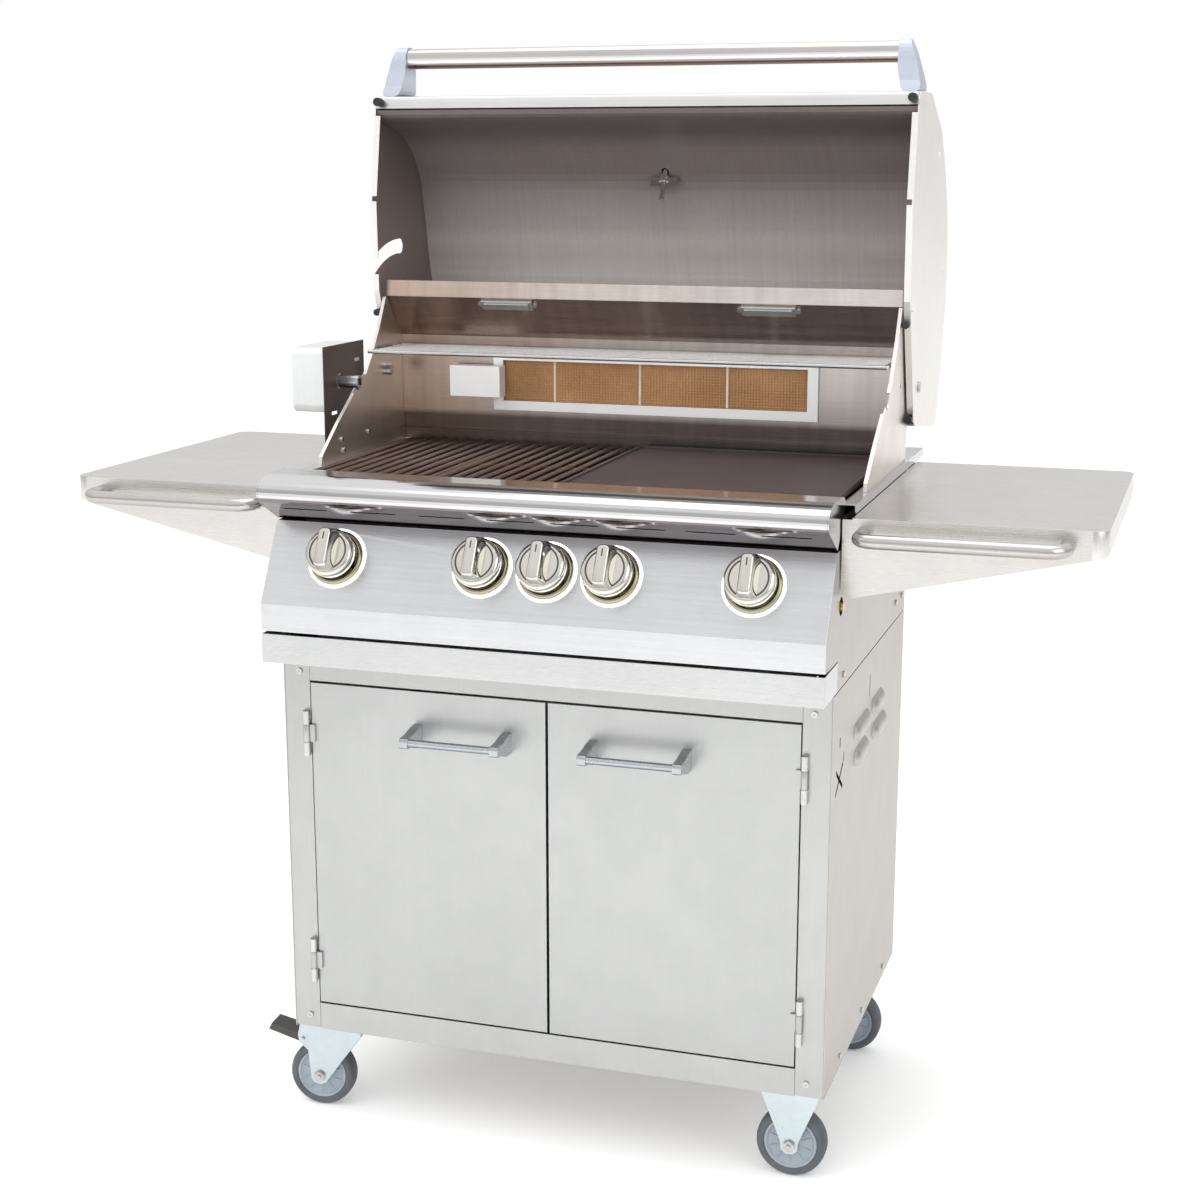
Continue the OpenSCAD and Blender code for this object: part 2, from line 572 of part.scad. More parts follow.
// ---------- knobs ----------
module stem(i) { color([0.7, 0.6, 0.35]) on_panel(knob_x[i], knob_s) cz([0, 0, -44], 4, 71); }
module knob(i) {
  color([0.8, 0.78, 0.7]) on_panel(knob_x[i], knob_s) {
    difference() {
      rotate_extrude() polygon([[0, 12.6], [27, 12.6], [33, 14], [35, 17], [35, 22], [33.6, 23], [33.6, 26], [35, 27], [34.6, 32], [31, 35], [0, 35]]);
      cz([0, 0, 0], 4.05, 32);
    }
    // raised grip, tapered to its top
    intersection() {
      xz([[-14, 35.05], [14, 35.05], [9.5, 54], [7, 57], [-7, 57], [-9.5, 54]], -33, 33);
      yz(ease([[-33, 35.05], [33, 35.05], [29, 57], [-29, 57]], 6, 3), -14, 14);
      cz([0, 0, 35], 31.5, 30);
    }
  }
}

// ---------- casters ----------
module wheel() {
  r = wheel_d / 2; h = wheel_w / 2;
  rotate([90, 0, 0]) {
    // hub
    difference() {
      rotate_extrude() polygon([[6.05, -17], [14, -17], [16, -12], [34, -10], [36, -13], [38.4, -13], [38.4, 13], [36, 13], [34, 10], [16, 12], [14, 17], [6.05, 17]]);
    }
    // tyre
    rotate_extrude() polygon([[38.6, -h + 1], [46, -h], [r - 2, -h + 3], [r, -h + 9], [r, h - 9], [r - 2, h - 3], [46, h], [38.6, h - 1]]);
  }
}
module swivel(i) { translate([-cast_x, cast_y[i], 0]) rotate([0, 0, cast_yaw[i]]) children(); }
module swivel_fork(i) {
  color(zinc) swivel(i) {
    difference() {
      union() {
        for (s = [-1, 1]) xz([[-28, 133.6], [70, 133.6], [74, 116], [72, 104], [58, 92], [54, 46], [50, 40], [trail, 37], [30, 41], [27, 46], [-28, 122]],
          s > 0 ? 18.5 : -21.5, s > 0 ? 21.5 : -18.5);
        bx([-28, -18.6, 130.6], [52, 18.6, 133.6]);
        cy([66, -25, 110], 3, 50);
        cz([0, 0, 130.6], 29, 6);
        cz([0, 0, 136], 34, 6.6);
        cy([trail, -26, wheel_d / 2], 6, 52);
      }
      cz([0, 0, 120], 6.05, 30);
    }
  }
}
module brake(i) {
  color(dark) swivel(i) difference() {
    union() {
      xz([[60, 118], [72, 117], [118, 129], [123, 119], [74, 104], [60, 100]], -17.8, 17.8);
      cy([66, -17.8, 110], 8, 35.6);
    }
    cy([66, -30, 110], 3.05, 60);
  }
}
module front_left_brake() { brake(0); }
module rear_left_brake() { brake(1); }
module front_left_fork() { swivel_fork(0); }
module rear_left_fork() { swivel_fork(1); }
module w_color() { color([0.3, 0.3, 0.32]) children(); }
module front_left_wheel() { w_color() swivel(0) translate([trail, 0, wheel_d / 2]) wheel(); }
module rear_left_wheel() { w_color() swivel(1) translate([trail, 0, wheel_d / 2]) wheel(); }
module front_right_wheel() { w_color() translate([cast_x, cast_y[0], wheel_d / 2]) wheel(); }
module rear_right_wheel() { w_color() translate([cast_x, cast_y[1], wheel_d / 2]) wheel(); }

module spit_socket() {
  color([0.6, 0.6, 0.58]) union() {
    difference() {
      cx([-442.5, 295, 1095], 10, 33);
      bx([-436, 290, 1090], [-400, 300, 1100]);
    }
    cx([-466, 295, 1095], 5, 24);
  }
}
module grease_tray() {
  color(steel) union() {
    difference() {
      bx([-371, 40, 743.4], [371, 556, 785]);
      bx([-369.5, 41.5, 745], [369.5, 554.5, 800]);
    }
    xz([[-60, 765], [60, 765], [60, 773], [-60, 773]], 556, 578);
  }
}

at_mid() {
  cart_frame();
  side_panels();
  cabinet_back_floor();
  front_bar();
  side_skirts();
  side_shelves();
  towel_bars();
  firebox();
  hood_wings();
  back_wall();
  head_flange();
  control_panel();
  knob_bezels();
  light_rings();
  gas_manifold();
  main_burners();
  flame_tamers();
  rear_burner_frame();
  rear_burner_tiles();
  cooking_grates();
  griddle();
  warming_rack();
  lamps();
  motor_bracket();
  motor_housing();
  fasteners();
  caster_mounts();
  hinge_pins();
  hood_skin();
  hood_ends();
  hood_liner();
  hood_handle_tube();
  hood_handle_brackets();
  hood_bumpers();
  thermometer();
  thermometer_needle();
  left_door();
  right_door();
  left_door_handle();
  right_door_handle();
  stem(0);  // valve_stem_1
  stem(1);  // valve_stem_2
  stem(2);  // valve_stem_3
  stem(3);  // valve_stem_4
  stem(4);  // valve_stem_5
  knob(0);  // knob_1
  knob(1);  // knob_2
  knob(2);  // knob_3
  knob(3);  // knob_4
  knob(4);  // knob_5
  front_left_fork();
  rear_left_fork();
  front_left_brake();
  rear_left_brake();
  front_left_wheel();
  rear_left_wheel();
  front_right_wheel();
  rear_right_wheel();
  spit_socket();
  grease_tray();
}
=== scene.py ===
"""Looks of the gas barbecue grill: materials, detailed pieces, light and camera."""
import json
import math

import bpy
import bmesh
from mathutils import Matrix, Vector


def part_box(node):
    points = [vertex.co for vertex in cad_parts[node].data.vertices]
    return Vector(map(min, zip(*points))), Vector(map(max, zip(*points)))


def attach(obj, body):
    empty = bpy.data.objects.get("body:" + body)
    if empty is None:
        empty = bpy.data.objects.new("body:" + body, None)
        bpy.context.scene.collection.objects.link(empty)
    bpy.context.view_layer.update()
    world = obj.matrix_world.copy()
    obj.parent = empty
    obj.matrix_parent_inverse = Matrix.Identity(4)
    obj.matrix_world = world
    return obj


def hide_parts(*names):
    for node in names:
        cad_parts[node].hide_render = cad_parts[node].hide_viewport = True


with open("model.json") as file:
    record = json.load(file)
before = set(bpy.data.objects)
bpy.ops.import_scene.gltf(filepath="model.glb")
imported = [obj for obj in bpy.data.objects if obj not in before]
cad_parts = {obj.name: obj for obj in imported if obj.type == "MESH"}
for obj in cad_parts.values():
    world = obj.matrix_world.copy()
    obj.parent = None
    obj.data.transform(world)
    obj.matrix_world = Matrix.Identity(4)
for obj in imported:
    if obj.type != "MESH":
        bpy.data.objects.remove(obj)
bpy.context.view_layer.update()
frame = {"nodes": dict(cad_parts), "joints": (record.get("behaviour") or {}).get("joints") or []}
NODES = frame["nodes"]
JOINTS = {j["name"]: j for j in frame["joints"]}
MM = 0.001


# ---------------------------------------------------------------- materials
def new_material(name):
    m = bpy.data.materials.new(name)
    m.use_nodes = True
    nt = m.node_tree
    nt.nodes.clear()
    out = nt.nodes.new("ShaderNodeOutputMaterial")
    b = nt.nodes.new("ShaderNodeBsdfPrincipled")
    nt.links.new(b.outputs[0], out.inputs[0])
    return m, nt, b


def noise(nt, vec, scale, detail=4.0, rough=0.55):
    n = nt.nodes.new("ShaderNodeTexNoise")
    n.inputs["Scale"].default_value = scale
    n.inputs["Detail"].default_value = detail
    n.inputs["Roughness"].default_value = rough
    nt.links.new(vec, n.inputs["Vector"])
    return n.outputs["Fac"]


def ramp(nt, fac, stops):
    r = nt.nodes.new("ShaderNodeValToRGB")
    el = r.color_ramp.elements
    while len(el) < len(stops):
        el.new(0.5)
    for e, (p, c) in zip(el, stops):
        e.position = p
        e.color = (c[0], c[1], c[2], 1.0)
    nt.links.new(fac, r.inputs[0])
    return r.outputs[0]


def mult(nt, a, b):
    m = nt.nodes.new("ShaderNodeMix")
    m.data_type = "RGBA"
    m.blend_type = "MULTIPLY"
    m.inputs[0].default_value = 1.0
    nt.links.new(a, m.inputs[6])
    nt.links.new(b, m.inputs[7])
    return m.outputs[2]


def remap(nt, fac, a, b, lo, hi):
    r = nt.nodes.new("ShaderNodeMapRange")
    r.inputs[1].default_value = a
    r.inputs[2].default_value = b
    r.inputs[3].default_value = lo
    r.inputs[4].default_value = hi
    nt.links.new(fac, r.inputs[0])
    return r.outputs[0]


def stretched(nt, tc, scale):
    mp = nt.nodes.new("ShaderNodeMapping")
    mp.inputs["Scale"].default_value = scale
    nt.links.new(tc.outputs["Object"], mp.inputs[0])
    return mp.outputs[0]


def grey(v):
    return (v, v, v)


def scaled(c, k):
    return tuple(min(1.0, x * k) for x in c)


def metal(name, color, rough=0.3, grain=(900, 900, 5), var=0.05, smudge=0.07, bump=0.12,
          height_shade=None, axis="Z", streak=None, metallic=1.0, facing_shade_and_highlight=None, side=None,
          inner=None, specular=0.5):
    """Brushed metal. The grain runs along the axis with the small scale."""
    m, nt, b = new_material(name)
    tc = nt.nodes.new("ShaderNodeTexCoord")
    g = noise(nt, stretched(nt, tc, grain), 1.0, 5.0, 0.7)
    broad = noise(nt, tc.outputs["Object"], 3.2, 3.0, 0.5)
    fine = noise(nt, tc.outputs["Object"], 26.0, 4.0, 0.6)
    col = ramp(nt, g, [(0.25, scaled(color, 1 - var)), (0.75, scaled(color, 1 + var))])
    col = mult(nt, col, ramp(nt, broad, [(0.3, grey(1 - smudge)), (0.65, grey(1.0))]))
    col = mult(nt, col, ramp(nt, fine, [(0.35, grey(1 - smudge * 0.45)), (0.6, grey(1.0))]))
    if streak:
        s = noise(nt, stretched(nt, tc, streak[0]), 1.0, 3.0, 0.5)
        col = mult(nt, col, ramp(nt, s, [(0.3, grey(1 - streak[1])), (0.7, grey(1.0))]))
    # painted shade: colour multiplied by a ramp along one object axis, darker where less light falls
    if height_shade:
        sep = nt.nodes.new("ShaderNodeSeparateXYZ")
        nt.links.new(tc.outputs["Object"], sep.inputs[0])
        lo, hi, stops = height_shade
        f = remap(nt, sep.outputs[axis], lo, hi, 0.0, 1.0)
        col = mult(nt, col, ramp(nt, f, stops))
    # painted shade and highlight: colour multiplied by a ramp over how far each face turns up or down
    if facing_shade_and_highlight:
        sn = nt.nodes.new("ShaderNodeSeparateXYZ")
        nt.links.new(tc.outputs["Normal"], sn.inputs[0])
        col = mult(nt, col, ramp(nt, remap(nt, sn.outputs["Z"], -1.0, 1.0, 0.0, 1.0), facing_shade_and_highlight))
    # painted shade: colour multiplied by a ramp across one object axis, darker towards one end
    if side:
        sx = nt.nodes.new("ShaderNodeSeparateXYZ")
        nt.links.new(tc.outputs["Object"], sx.inputs[0])
        f = remap(nt, sx.outputs[side[0]], side[1], side[2], 0.0, 1.0)
        col = mult(nt, col, ramp(nt, f, side[3]))
    # painted shade: faces turned towards the middle in X are made darker
    if inner:
        sa = nt.nodes.new("ShaderNodeSeparateXYZ")
        sb = nt.nodes.new("ShaderNodeSeparateXYZ")
        nt.links.new(tc.outputs["Object"], sa.inputs[0])
        nt.links.new(tc.outputs["Normal"], sb.inputs[0])
        mm = nt.nodes.new("ShaderNodeMath")
        mm.operation = "MULTIPLY"
        nt.links.new(sa.outputs["X"], mm.inputs[0])
        nt.links.new(sb.outputs["X"], mm.inputs[1])
        col = mult(nt, col, ramp(nt, remap(nt, mm.outputs[0], -0.43, 0.43, 0.0, 1.0), inner))
    nt.links.new(col, b.inputs["Base Color"])
    b.inputs["Specular IOR Level"].default_value = specular
    b.inputs["Metallic"].default_value = metallic
    nt.links.new(remap(nt, g, 0.3, 0.7, max(0.03, rough - 0.05), rough + 0.06), b.inputs["Roughness"])
    if bump:
        bp = nt.nodes.new("ShaderNodeBump")
        bp.inputs["Strength"].default_value = bump
        bp.inputs["Distance"].default_value = 0.0002
        nt.links.new(g, bp.inputs["Height"])
        nt.links.new(bp.outputs[0], b.inputs["Normal"])
    return m


def moulded(name, color, rough=0.6, scale=900, var=0.12, bump=0.2, specular=0.4):
    m, nt, b = new_material(name)
    tc = nt.nodes.new("ShaderNodeTexCoord")
    g = noise(nt, tc.outputs["Object"], scale, 3.0)
    w = noise(nt, tc.outputs["Object"], 30.0, 3.0)
    col = ramp(nt, w, [(0.3, scaled(color, 1 - var)), (0.7, scaled(color, 1 + var))])
    nt.links.new(col, b.inputs["Base Color"])
    nt.links.new(remap(nt, g, 0.3, 0.7, rough - 0.06, rough + 0.06), b.inputs["Roughness"])
    b.inputs["Specular IOR Level"].default_value = specular
    bp = nt.nodes.new("ShaderNodeBump")
    bp.inputs["Strength"].default_value = bump
    bp.inputs["Distance"].default_value = 0.0003
    nt.links.new(g, bp.inputs["Height"])
    nt.links.new(bp.outputs[0], b.inputs["Normal"])
    return m


ALONG_X = (4, 1000, 1000)
ALONG_Y = (1000, 4, 1000)
ALONG_Z = (1000, 1000, 4)

M = {}
# painted shade: the doors' colour darkens towards their bottom
M["door"] = metal("door_steel", (0.485, 0.492, 0.484), 0.36, ALONG_Z, 0.035, 0.06, 0.06,
                  height_shade=(0.19, 0.69, [(0.0, grey(0.94)), (0.7, grey(1.0)), (1.0, grey(1.0))]))
M["cart"] = metal("cart_steel", (0.47, 0.475, 0.462), 0.33, ALONG_Z, 0.045, 0.06, 0.08)
M["bar"] = metal("bar_steel", (0.59, 0.595, 0.59), 0.28, ALONG_X, 0.05, 0.06, 0.08)
M["side"] = metal("side_steel", (0.48, 0.455, 0.425), 0.36, ALONG_Z, 0.055, 0.08, 0.08)
M["shelf"] = metal("shelf_steel", (0.72, 0.70, 0.675), 0.28, ALONG_X, 0.05, 0.07, 0.08)
# painted shade: the rim's down-facing faces are coloured dark brown-grey
M["rim"] = metal("rim_steel", (0.68, 0.672, 0.678), 0.14, ALONG_X, 0.03, 0.04, 0.05,
                 facing_shade_and_highlight=[(0.0, (0.30, 0.27, 0.28)), (0.24, (0.34, 0.31, 0.32)), (0.36, grey(0.9)), (1.0, grey(1.0))])
M["panel"] = metal("panel_steel", (0.67, 0.675, 0.685), 0.30, (2.5, 700, 700), 0.06, 0.06, 0.10,
                   streak=((1.2, 160, 160), 0.06), metallic=0.92)
M["bright"] = metal("bright_steel", (0.62, 0.62, 0.61), 0.14, ALONG_X, 0.04, 0.05, 0.0)
# painted shade and highlight: the handle tube is dark brown underneath, with a bright band just below its middle and
# a dimmer top
M["tube"] = metal("handle_tube_steel", (0.76, 0.745, 0.72), 0.16, ALONG_X, 0.04, 0.05, 0.0,
                  facing_shade_and_highlight=[(0.0, (0.20, 0.13, 0.10)), (0.16, (0.24, 0.17, 0.14)), (0.27, grey(0.95)), (0.48, grey(1.0)),
                         (0.62, (0.74, 0.72, 0.71)), (1.0, (0.82, 0.80, 0.80))])
# painted shade: the towel bars are darker on their down-facing sides
M["bars"] = metal("towel_bar_steel", (0.60, 0.58, 0.56), 0.22, ALONG_X, 0.04, 0.06, 0.04,
                  facing_shade_and_highlight=[(0.0, (0.6, 0.56, 0.53)), (0.35, (0.8, 0.79, 0.78)), (0.7, grey(1.0)), (1.0, grey(1.0))])
M["frame"] = metal("burner_frame_steel", (0.93, 0.93, 0.92), 0.45, ALONG_X, 0.02, 0.04, 0.03, metallic=0.35)
M["lamp"] = metal("lamp_steel", (0.55, 0.56, 0.54), 0.3, ALONG_X, 0.04, 0.06, 0.0, metallic=0.8)
M["hood"] = metal("hood_steel", (0.82, 0.82, 0.81), 0.30, ALONG_X, 0.05, 0.06, 0.08)
# painted shade: the hood ends' inward-facing sides are darkened
M["ends"] = metal("hood_end_steel", (0.90, 0.875, 0.845), 0.36, ALONG_Z, 0.03, 0.05, 0.06,
                  inner=[(0.0, (0.40, 0.35, 0.34)), (0.40, (0.42, 0.37, 0.36)), (0.48, grey(1.0)), (1.0, grey(1.0))],
                  metallic=0.8)
# painted shade and reflection: the hood liner runs from light at the bottom to near black at the top
M["liner"] = metal("liner_steel", (0.98, 0.92, 0.895), 0.42, (700, 700, 4), 0.10, 0.08, 0.10,
                   height_shade=(1.18, 1.50, [(0.0, (1.0, 0.99, 0.98)), (0.20, (1.0, 0.98, 0.97)), (0.30, (0.62, 0.59, 0.58)), (0.45, (0.34, 0.31, 0.305)),
                                      (0.66, (0.20, 0.175, 0.17)), (0.86, (0.22, 0.19, 0.185)), (0.905, (0.15, 0.125, 0.125)),
                                      (1.0, (0.13, 0.11, 0.11))]),
                   streak=((200, 3, 3), 0.08), metallic=0.2)
# painted shade: the back wall gets a dark band along its bottom ledge, a darker band higher up, and a darker, browner
# left end
M["wall"] = metal("back_wall_steel", (0.80, 0.745, 0.71), 0.30, ALONG_X, 0.08, 0.12, 0.10,
                  streak=((60, 2, 2), 0.14),
                  height_shade=(0.98, 1.26, [(0.0, (0.34, 0.32, 0.32)), (0.165, (0.27, 0.25, 0.25)), (0.20, grey(0.9)), (0.58, grey(1.0)),
                                     (0.64, (0.9, 0.85, 0.83)), (0.8, (0.8, 0.74, 0.73)), (0.852, (0.7, 0.65, 0.64)),
                                     (0.862, grey(1.0)), (1.0, grey(1.0))]),
                  side=("X", -0.41, 0.41, [(0.0, (0.80, 0.66, 0.56)), (0.35, (0.95, 0.90, 0.87)), (0.85, (1.0, 1.0, 1.0)),
                                           (1.0, (1.0, 1.0, 1.0))]))
M["wing"] = metal("wing_steel", (0.90, 0.84, 0.79), 0.36, ALONG_X, 0.07, 0.12, 0.10,
                  side=("X", -0.41, 0.41, [(0.0, grey(1.0)), (1.0, grey(1.0))]))
M["heat"] = metal("heat_steel", (0.30, 0.27, 0.26), 0.42, ALONG_X, 0.12, 0.2, 0.14)
M["rod"] = metal("rod_steel", (0.42, 0.335, 0.295), 0.34, ALONG_Y, 0.14, 0.2, 0.12)
M["griddle"] = metal("griddle_steel", (0.085, 0.062, 0.064), 0.46, ALONG_X, 0.10, 0.18, 0.10,
                     metallic=0.15, specular=0.25)
M["rack"] = metal("rack_wire", (0.66, 0.645, 0.63), 0.22, ALONG_X, 0.06, 0.08, 0.0)
M["zinc"] = metal("zinc_plate", (0.585, 0.66, 0.68), 0.32, (60, 60, 60), 0.05, 0.10, 0.06)
M["motor"] = metal("motor_case", (0.76, 0.785, 0.775), 0.38, ALONG_Z, 0.04, 0.06, 0.06, metallic=0.6)
M["bracket"] = metal("bracket_steel", (0.085, 0.062, 0.056), 0.42, ALONG_Z, 0.12, 0.2, 0.08,
                     metallic=0.3, specular=0.3)
M["horn"] = metal("horn_metal", (0.56, 0.60, 0.69), 0.34, (300, 300, 300), 0.04, 0.05, 0.06, metallic=0.7)
# painted shade and highlight: the door pulls are dark underneath, brightest around their side-facing middle and a
# little dimmer on top
M["pull"] = metal("door_pull_metal", (0.55, 0.565, 0.58), 0.24, (300, 300, 300), 0.04, 0.05, 0.04,
                  facing_shade_and_highlight=[(0.0, (0.35, 0.36, 0.38)), (0.35, (0.62, 0.64, 0.66)), (0.55, grey(1.0)), (0.8, grey(0.95)), (1.0, grey(0.72))])
M["knob"] = metal("knob_chrome", (0.66, 0.645, 0.585), 0.10, (500, 500, 500), 0.03, 0.05, 0.0)
M["bezel"] = metal("bezel_chrome", (0.40, 0.37, 0.27), 0.12, (400, 400, 400), 0.04, 0.06, 0.0)
# dark material for the painted shade in the knob grooves and for the pointer ink
M["groove"] = moulded("knob_groove", (0.055, 0.05, 0.045), 0.45)
M["brass"] = metal("brass_valve", (0.72, 0.56, 0.28), 0.30, (300, 300, 300), 0.08, 0.12, 0.08)
M["screw"] = metal("screw_steel", (0.58, 0.575, 0.57), 0.26, (600, 600, 600), 0.06, 0.08, 0.0)
M["rubber"] = moulded("black_rubber", (0.022, 0.021, 0.02), 0.55)
M["pedal"] = moulded("pedal_plastic", (0.055, 0.052, 0.05), 0.5, 700)
M["tyre"] = moulded("tyre_rubber", (0.085, 0.092, 0.10), 0.6, 500, 0.15, 0.3)
M["hub"] = moulded("hub_plastic", (0.27, 0.31, 0.35), 0.42, 600, 0.08, 0.1)
M["dial"] = moulded("dial_face", (0.86, 0.86, 0.84), 0.4, 300, 0.02, 0.03)
M["ink"] = moulded("dial_ink", (0.03, 0.03, 0.032), 0.5, 300, 0.05, 0.03)
M["red"] = moulded("needle_paint", (0.60, 0.035, 0.03), 0.35, 400, 0.08, 0.05)


def tile_material():
    m, nt, b = new_material("fired_ceramic")
    tc = nt.nodes.new("ShaderNodeTexCoord")
    n = noise(nt, tc.outputs["Object"], 9.0, 4.0, 0.6)
    f = noise(nt, tc.outputs["Object"], 420.0, 3.0, 0.6)
    col = ramp(nt, n, [(0.3, (0.42, 0.22, 0.10)), (0.55, (0.53, 0.29, 0.135)), (0.75, (0.61, 0.36, 0.18))])
    col = mult(nt, col, ramp(nt, f, [(0.3, grey(0.72)), (0.65, grey(1.0))]))
    nt.links.new(col, b.inputs["Base Color"])
    b.inputs["Roughness"].default_value = 0.9
    bp = nt.nodes.new("ShaderNodeBump")
    bp.inputs["Strength"].default_value = 0.35
    bp.inputs["Distance"].default_value = 0.0004
    nt.links.new(f, bp.inputs["Height"])
    nt.links.new(bp.outputs[0], b.inputs["Normal"])
    return m


def glow_material():
    m, nt, b = new_material("light_ring_glow")
    tc = nt.nodes.new("ShaderNodeTexCoord")
    n = noise(nt, tc.outputs["Object"], 40.0, 2.0)
    col = ramp(nt, n, [(0.3, (0.86, 0.92, 1.0)), (0.7, (1.0, 1.0, 1.0))])
    nt.links.new(col, b.inputs["Base Color"])
    nt.links.new(col, b.inputs["Emission Color"])
    b.inputs["Emission Strength"].default_value = 2.6
    b.inputs["Roughness"].default_value = 0.3
    return m


M["tile"] = tile_material()
M["joint"] = moulded("tile_joint", (0.74, 0.66, 0.52), 0.9, 500, 0.1, 0.2)
M["glow"] = glow_material()


LOOK = {
    "cart_frame": "cart", "side_panels": "side", "cabinet_back_floor": "side", "front_bar": "bar",
    "side_skirts": "side", "side_shelves": "shelf", "towel_bars": "bars", "firebox": "heat",
    "hood_wings": "wing", "back_wall": "wall", "head_flange": "rim", "control_panel": "panel",
    "knob_bezels": "bezel", "light_rings": "glow", "gas_manifold": "brass", "main_burners": "heat",
    "flame_tamers": "heat", "rear_burner_frame": "frame", "rear_burner_tiles": "tile",
    "cooking_grates": "rod", "griddle": "griddle", "warming_rack": "rack", "lamps": "lamp",
    "motor_bracket": "bracket", "motor_housing": "motor", "fasteners": "screw", "caster_mounts": "zinc",
    "hinge_pins": "screw", "hood_skin": "hood", "hood_ends": "ends", "hood_liner": "liner",
    "hood_handle_tube": "tube", "hood_handle_brackets": "horn", "hood_bumpers": "rubber",
    "thermometer": "bright", "thermometer_needle": "red", "left_door": "door", "right_door": "door",
    "left_door_handle": "pull", "right_door_handle": "pull", "front_left_fork": "zinc",
    "rear_left_fork": "zinc", "front_left_brake": "pedal", "rear_left_brake": "pedal",
    "front_left_wheel": "tyre", "rear_left_wheel": "tyre", "front_right_wheel": "tyre",
    "rear_right_wheel": "tyre", "spit_socket": "screw", "grease_tray": "cart",
}
for i in range(1, 6):
    LOOK["valve_stem_%d" % i] = "brass"
    LOOK["knob_%d" % i] = "knob"

BEVEL = {"cart_frame": 0.8, "front_bar": 1.2, "side_skirts": 0.5, "head_flange": 0.5,
         "control_panel": 0.6, "left_door": 1.2, "right_door": 1.2, "motor_housing": 3.0,
         "left_door_handle": 1.0, "right_door_handle": 1.0, "hood_handle_brackets": 1.5,
         "griddle": 0.8, "rear_burner_frame": 0.6, "fasteners": 0.5, "front_left_brake": 1.2,
         "rear_left_brake": 1.2, "lamps": 0.8, "side_shelves": 0.5, "hood_bumpers": 0.8}
for name, obj in NODES.items():
    mat = M[LOOK[name]]
    if obj.material_slots:
        for s in obj.material_slots:
            s.material = mat
    else:
        obj.data.materials.append(mat)
    if name in BEVEL:
        w = obj.modifiers.new("weld", "WELD")
        w.merge_threshold = 0.00001
        e = obj.modifiers.new("edge", "BEVEL")
        e.width = BEVEL[name] * MM * 0.6
        e.segments = 2
        e.limit_method = "ANGLE"
        e.angle_limit = math.radians(40)
        e.harden_normals = False


# ---------------------------------------------------------------- mesh helpers
def place(pos, z, x=(1, 0, 0)):
    z = Vector(z).normalized()
    x = Vector(x)
    x = (x - z * z.dot(x)).normalized()
    y = z.cross(x)
    m = Matrix((x, y, z)).transposed().to_4x4()
    m.translation = Vector(pos)
    return m


def lathe(bm, prof, mat, seg=96, slot=0, closed=True, smooth=True):
    """A profile of (radius, height) in mm turned about the local Z of mat."""
    rings = []
    for r, h in prof:
        if r < 1e-6:
            rings.append([bm.verts.new(mat @ Vector((0, 0, h * MM)))] * seg)
        else:
            rings.append([bm.verts.new(mat @ Vector((r * MM * math.cos(a), r * MM * math.sin(a), h * MM)))
                          for a in (2 * math.pi * k / seg for k in range(seg))])
    n = len(rings)
    for i in range(n if closed else n - 1):
        a, b = rings[i], rings[(i + 1) % n]
        for k in range(seg):
            vs = []
            for v in (a[k], a[(k + 1) % seg], b[(k + 1) % seg], b[k]):
                if v not in vs:
                    vs.append(v)
            if len(vs) > 2:
                f = bm.faces.new(vs)
                f.material_index = slot
                f.smooth = smooth


def loft(bm, rings, slot=0, smooth=True, caps=True):
    rs = [[bm.verts.new(p) for p in r] for r in rings]
    n = len(rs[0])
    for a, b in zip(rs, rs[1:]):
        for k in range(n):
            f = bm.faces.new((a[k], a[(k + 1) % n], b[(k + 1) % n], b[k]))
            f.material_index = slot
            f.smooth = smooth
    if caps:
        for r in (rs[0][::-1], rs[-1]):
            f = bm.faces.new(r)
            f.material_index = slot
            f.smooth = False


def finish_mesh(name, bm, mats, body, replaces=(), sharp=35):
    bmesh.ops.recalc_face_normals(bm, faces=bm.faces)
    me = bpy.data.meshes.new(name)
    bm.to_mesh(me)
    bm.free()
    for m in mats:
        me.materials.append(m)
    o = bpy.data.objects.new(name, me)
    bpy.context.scene.collection.objects.link(o)
    if sharp:
        me.set_sharp_from_angle(angle=math.radians(sharp))
    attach(o, body)
    if replaces:
        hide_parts(*replaces)
    return o


def rounded(hx, hy, r, n=5):
    pts = []
    for cx, cy, a0 in ((hx - r, hy - r, 0), (-hx + r, hy - r, 90), (-hx + r, -hy + r, 180), (hx - r, -hy + r, 270)):
        for k in range(n + 1):
            a = math.radians(a0 + 90 * k / n)
            pts.append((cx + r * math.cos(a), cy + r * math.sin(a)))
    return pts


def hexagon(bm, mat, r, h0, h1, slot=0, seg=6):
    rings = []
    for rr, h in ((r * 0.9, h0), (r, h0 + 0.4), (r, h1 - 0.8), (r * 0.86, h1)):
        rings.append([mat @ Vector((rr * MM * math.cos(a), rr * MM * math.sin(a), h * MM))
                      for a in (2 * math.pi * k / seg for k in range(seg))])
    loft(bm, rings, slot, smooth=False)


